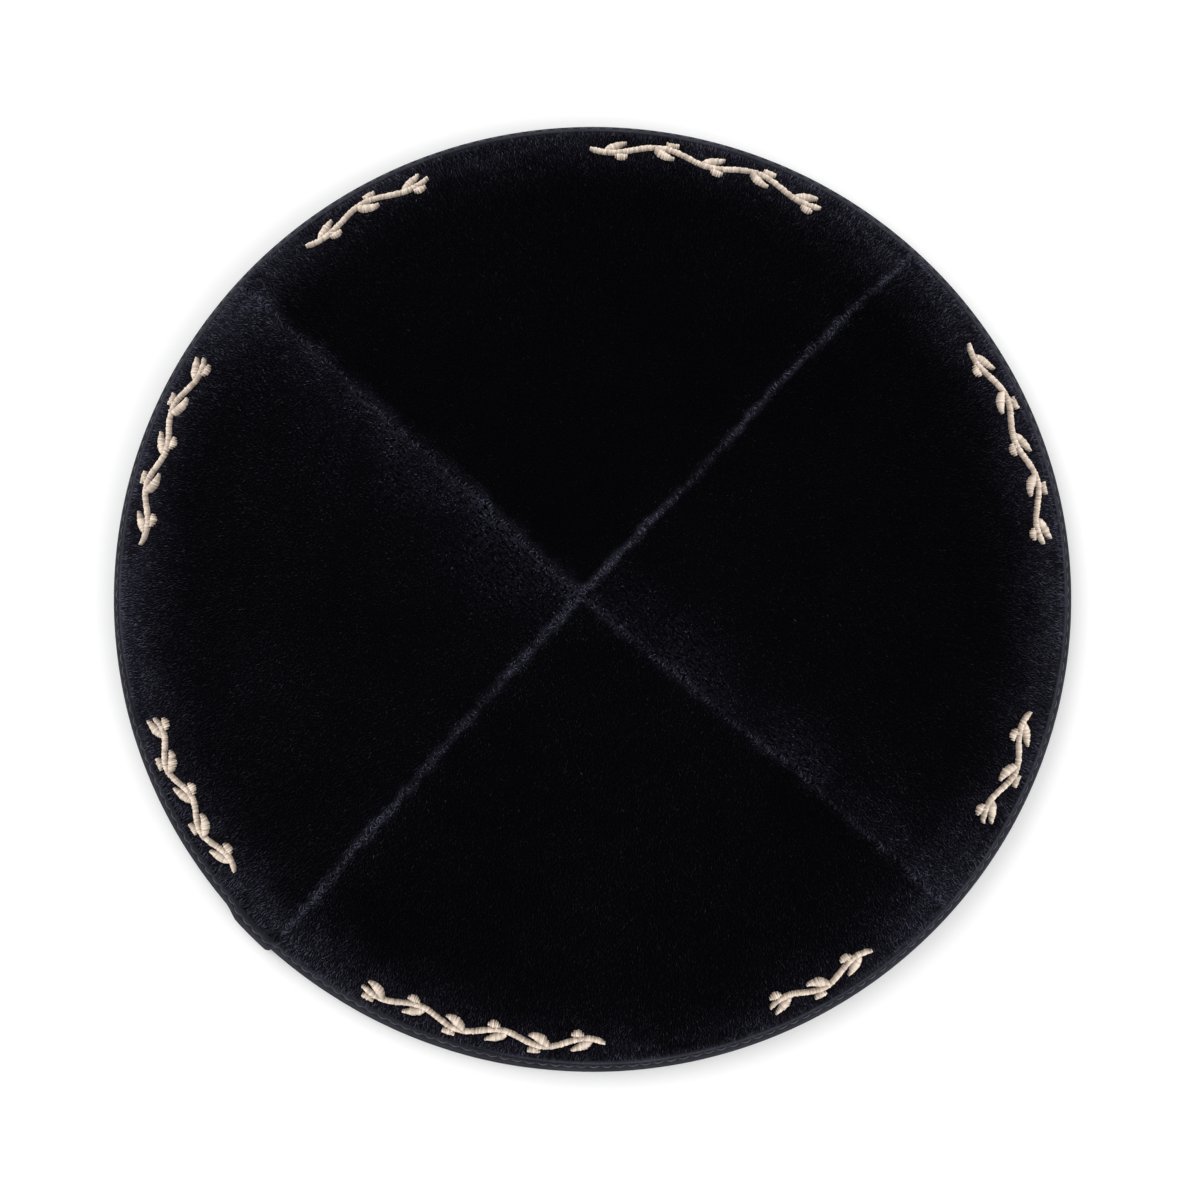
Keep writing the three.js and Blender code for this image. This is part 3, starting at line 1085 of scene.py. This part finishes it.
def tuftTree():
    # one pointed tuft stands on each guide point, along the direction given there
    tree, given = nodeGroup(
        "velvet tufts",
        {
            "Pile Height": ("NodeSocketFloat", 0.0008),
            "Root Radius": ("NodeSocketFloat", 0.0001),
            "Sides": ("NodeSocketInt", 3),
            "Tuft Material": ("NodeSocketMaterial", None),
        },
    )
    start = given["Geometry"]
    inputs = {
        "Vertices": given["Sides"],
        "Radius Top": 0.0,
        "Radius Bottom": given["Root Radius"],
        "Depth": given["Pile Height"],
    }
    tuft = start.node("GeometryNodeMeshCone", {"fill_type": "NGON"}, inputs)
    spot = start.node("GeometryNodeInputPosition")
    spot = start.node("ShaderNodeSeparateXYZ", None, {"Vector": spot}, output=2)
    tuft = storeFloat(tuft, "run", spot / given["Pile Height"])
    size = vector(start, 1.0, 1.0, namedValue(start, "tall"))
    roots = start.node("GeometryNodeMeshToPoints", None, {"Mesh": start})
    inputs = {"Points": roots, "Instance": tuft, "Rotation": guideTurn(start), "Scale": size}
    stood = start.node("GeometryNodeInstanceOnPoints", None, inputs)
    stood = start.node("GeometryNodeRealizeInstances", None, {"Geometry": stood})
    return endGroup(tree, stood, given["Tuft Material"])


def backingMaterial():
    material, shader, place = startMaterial(
        "velvet backing", {"Roughness": 0.9, "Specular IOR Level": 0.15}
    )
    weave = place.node("ShaderNodeTexVoronoi", None, {"Vector": place, "Scale": 1400.0})
    colour = blend((0.006, 0.006, 0.008, 1), (0.02, 0.02, 0.024, 1), weave)
    feed(colour, shader, "Base Color")
    feedBump(weave, shader, 0.0003, 0.5)
    return material


def ribbonMaterial():
    material, shader, place = startMaterial(
        "charcoal ribbon", {"Roughness": 0.8, "Specular IOR Level": 0.05}
    )
    fine = noise(place, 2600, 2, 0.6)
    cloud = noise(place, 160, 2, 0.5)
    cord = attribute(place, "rib")
    # the grooves between the cords are darker, painted shade, with a random tone for each cord
    show = (0.08 + 0.92 * cord) * (0.2 + 1.1 * fine) * (0.5 + cloud)
    feed(blend((0.003, 0.0031, 0.004, 1), (0.050, 0.050, 0.070, 1), show), shader, "Base Color")
    feedBump(fine, shader, 0.0002, 0.5)
    return material


def threadMaterial(name, dark, light, constants):
    material, shader, place = startMaterial(name, constants)
    shade, run = attribute(place, "shade"), attribute(place, "run")
    # painted light on the crest of each thread's arch and painted shade at its ends, where it dives into
    # the cloth
    archLight = (run * math.pi).sine()
    fibre = noise(place, 5000, 1)
    colour = blend(dark, light, (archLight * 0.55 + shade * 0.3 + fibre * 0.2) ** 1.8)
    feed(colour, shader, "Base Color")
    feedBump(fibre, shader, 0.0001, 0.4)
    return material


# painted sheen beside each seam, one row a seam in the order of seamAzimuths, widths in millimetres;
# line is a painted highlight along the seam's ridge, band a broad strip of painted sheen on the panel that
# follows the seam
seamSheenAndRows = [
    {"line": 0.26, "lineWidth": 0.9, "band": 0.19, "bandWidth": 8, "rows": 0.8},
    {"line": 0.85, "lineWidth": 0.65, "band": 0.03, "bandWidth": 3, "rows": 0.2},
    {"line": 0.30, "lineWidth": 1.4, "band": 0.27, "bandWidth": 7, "rows": 1.0},
    {"line": 0.80, "lineWidth": 0.8, "band": 0.05, "bandWidth": 4, "rows": 0.4},
]
# painted light: how bright each panel's pile is, the left one palest, as the light falls on it
panelLight = [0.032, 0.028, 0.055, 0.036]
toneSpread = {"apex": 20, "rows": 24}  # how far each reaches, millimetres
# painted sheen, growing towards the rim where the crown turns down
rimSheen = {"from": 0.79, "to": 1.02, "amount": 0.95, "power": 3}
# where round the rim the painted sheen is weaker
rimSheenDips = [
    {"azimuth": 98, "spread": 34, "drop": 0.5},
    {"azimuth": 283, "spread": 34, "drop": 0.65},
]


def pileToneAndLight(azimuth, share, panel):
    # how pale the nap is, with painted light and painted sheen on top of its random tone, and how clearly
    # its rows show, 0 to 1
    first, second = seamDistances(azimuth, share, panel)
    reach = alongCrown("reach", share)
    x, y = crownPlace(azimuth, share)
    ragged, patch, broad = softNoise(x, y, 1.5, 3), softNoise(x, y, 6, 4), softNoise(x, y, 21, 5)
    before, after = seamSheenAndRows[panel], seamSheenAndRows[(panel + 1) % 4]
    # painted light: each panel starts from its own brightness, as the light falls on it
    tone = panelLight[panel] * (1 + 0.3 * broad + 0.2 * patch)
    apex = np.exp(-((reach / toneSpread["apex"]) ** 2))
    # painted highlight along each seam's ridge, stronger near the apex
    for nap, distance in ((before, first), (after, second)):
        reachOut = distance / (nap["lineWidth"] * (1 + 0.45 * ragged))
        tone += nap["line"] * np.exp(-(reachOut**2)) * (0.85 + 0.3 * apex) * (0.85 + 0.6 * patch)
    # painted sheen in the band beside the seam, weaker near the apex
    band = np.exp(-((np.maximum(first, 0) / before["bandWidth"]) ** 1.4))
    tone += before["band"] * band * (0.85 + 0.4 * patch + 0.2 * ragged) * (1 - 0.55 * apex)
    # painted sheen towards the rim, weaker at the dips
    rimward = np.clip((reach / rimReach - rimSheen["from"]) / (rimSheen["to"] - rimSheen["from"]), 0, 1)
    quiet = 1
    for dip in rimSheenDips:
        away = (azimuth - dip["azimuth"] + 180) % 360 - 180
        quiet = quiet - dip["drop"] * np.exp(-((away / dip["spread"]) ** 2))
    rimSheenHere = rimSheen["amount"] * rimward ** rimSheen["power"] * quiet
    tone += rimSheenHere * (0.9 + 0.35 * patch + 0.35 * ragged)
    rows = before["rows"] * np.exp(-((first / toneSpread["rows"]) ** 2)) * np.clip(0.7 + 0.6 * patch, 0, 1)
    return np.clip(tone, 0, 1), rows * (1 - rimward)


def paintPile(panel, piece, azimuth, share):
    # the ground's tone with its painted light and sheen, the rows' strength and the cloth's own
    # coordinates, per point
    tone, rows = pileToneAndLight(azimuth, share, panel)
    x, y = clothPlace(azimuth, share, panel)
    addFloat(piece, "tone", tone)
    addFloat(piece, "rowShow", rows)
    addVector(piece, "cloth", np.stack([x, y, 0 * x], -1))


pileMaterial, backMaterial = velvetMaterial(), backingMaterial()
for panel, (piece, azimuth, share) in enumerate(piles):
    paintPile(panel, piece, azimuth, share)
    piece.data.materials.append(pileMaterial)
    piece.data.materials.append(backMaterial)
addFloat(ribbon, "rib", ribbonShadeAndTone)
ribbon.data.materials.append(ribbonMaterial())

tree = tuftTree()
tuftMaterial = napMaterial()
borderLines = embroideryLines()
naps = []
for panel, name in enumerate(panelNames):
    nap = growMesh(
        name.replace("_panel_", "_nap_"),
        napGuide(panel, borderLines),
        tree,
        {
            "Pile Height": napLook["height"] * mm,
            "Root Radius": napLook["radius"] * mm,
            "Sides": 3,
            "Tuft Material": tuftMaterial,
        },
    )
    corners = cornerVertices(nap)
    tone, run = pointValues(nap, "tone")[corners], pointValues(nap, "run")[corners]
    aside = np.array([-1, 1, 0])[np.arange(len(corners)) % 3] * 0.008
    setBakeMap(nap, 0.03 + 0.94 * tone + aside, 0.03 + 0.94 * run)
    naps.append(nap)
    print("nap:", nap.name, len(nap.data.polygons), "faces")

threads = stitchTree()


def growStitches(name, guide, look, material):
    values = {
        "Spacing": look["spacing"] * mm,
        "Thread Radius": look["threadRadius"] * mm,
        "Lift": look["lift"] * mm,
        "Root": look["root"] * mm,
        "Looseness": look["looseness"],
        "Steps": look["steps"],
        "Sides": look["sides"],
        "Seed": look["seed"],
        "Thread Material": material,
    }
    return growMesh(name, guide, threads, values)


goldFinish = {"Roughness": 0.42, "Specular IOR Level": 0.45}
# the gold thread's colour in painted shade and in painted light, each stitch's random tone running between
# them
goldShadeAndTone = (0.16, 0.113, 0.083, 1), (0.96, 0.82, 0.69, 1)
goldThread = threadMaterial("pale gold thread", *goldShadeAndTone, goldFinish)
borderGuide = makeGuide("embroidery_guide", borderLines)
embroidery = growStitches("embroidered_border", borderGuide, embroideryLook, goldThread)
darkFinish = {"Roughness": 0.5, "Specular IOR Level": 0.4}
# the sewing thread's colour in painted shade and in painted light, each stitch's random tone running
# between them
darkThreadShadeAndTone = (0.008, 0.0084, 0.011, 1), (0.055, 0.058, 0.072, 1)
darkThread = threadMaterial("dark sewing thread", *darkThreadShadeAndTone, darkFinish)
topstitch = growStitches("ribbon_topstitch", topstitchGuide(), topstitchLook, darkThread)
print("embroidery:", len(embroidery.data.polygons), "faces; topstitch:", len(topstitch.data.polygons))

stageLook = {
    "tilt": 3.7,  # degrees off straight above, towards the front
    "distance": 1.0,
    "frameWidth": 0.2250,
    "aim": (0.0014, -0.0005, 0.0),
    "sensor": 36,
    "worldStrength": 0.95,
    "floorSize": 8,
    "floorDrop": 0.0004,
}


def makeCamera():
    data = bpy.data.cameras.new("camera")
    camera = addObject("camera", data)
    tilt = math.radians(stageLook["tilt"])
    aim, far = stageLook["aim"], stageLook["distance"]
    camera.location = (aim[0], aim[1] - far * math.sin(tilt), aim[2] + far * math.cos(tilt))
    camera.rotation_euler = (tilt, 0, 0)
    data.sensor_width = stageLook["sensor"]
    data.lens = stageLook["sensor"] * far / stageLook["frameWidth"]
    data.clip_start = 0.01
    bpy.context.scene.camera = camera


def makeLight(name, place, size, energy):
    # a round lamp that faces the origin
    data = bpy.data.lights.new(name, "AREA")
    data.shape, data.size, data.energy = "DISK", size, energy
    lamp = addObject(name, data)
    lamp.location = place
    x, y, z = place
    lamp.rotation_euler = (math.atan2(math.hypot(x, y), z), 0, math.atan2(x, -y))


makeCamera()
makeLight("key", (-0.7, 0.6, 1.3), 1.3, 10)
makeLight("fill", (0.9, -0.5, 1.1), 1.3, 7)
world = bpy.data.worlds.new("studio")
bpy.context.scene.world = world
world.use_nodes = True
background = world.node_tree.nodes["Background"].inputs
background["Color"].default_value = (1, 1, 1, 1)
background["Strength"].default_value = stageLook["worldStrength"]
bpy.context.scene.view_settings.view_transform = "Standard"
far = stageLook["floorSize"]
floorCorners = [(-far, -far, 0), (far, -far, 0), (far, far, 0), (-far, far, 0)]
floor = makeMesh("floor", floorCorners, [[0, 1, 2, 3]], False)
floorFinish = {"Base Color": (0.92, 0.92, 0.92, 1), "Roughness": 0.9, "Specular IOR Level": 0.1}
floor.data.materials.append(startMaterial("studio floor", floorFinish)[0])
floor.location.z = -stageLook["floorDrop"]

for panel, (piece, _, _) in enumerate(piles):
    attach(piece, "root")
    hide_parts(panelNames[panel])
    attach(naps[panel], "root")
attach(ribbon, "root")
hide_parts("rim_binding")
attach(embroidery, "root")
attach(topstitch, "root")
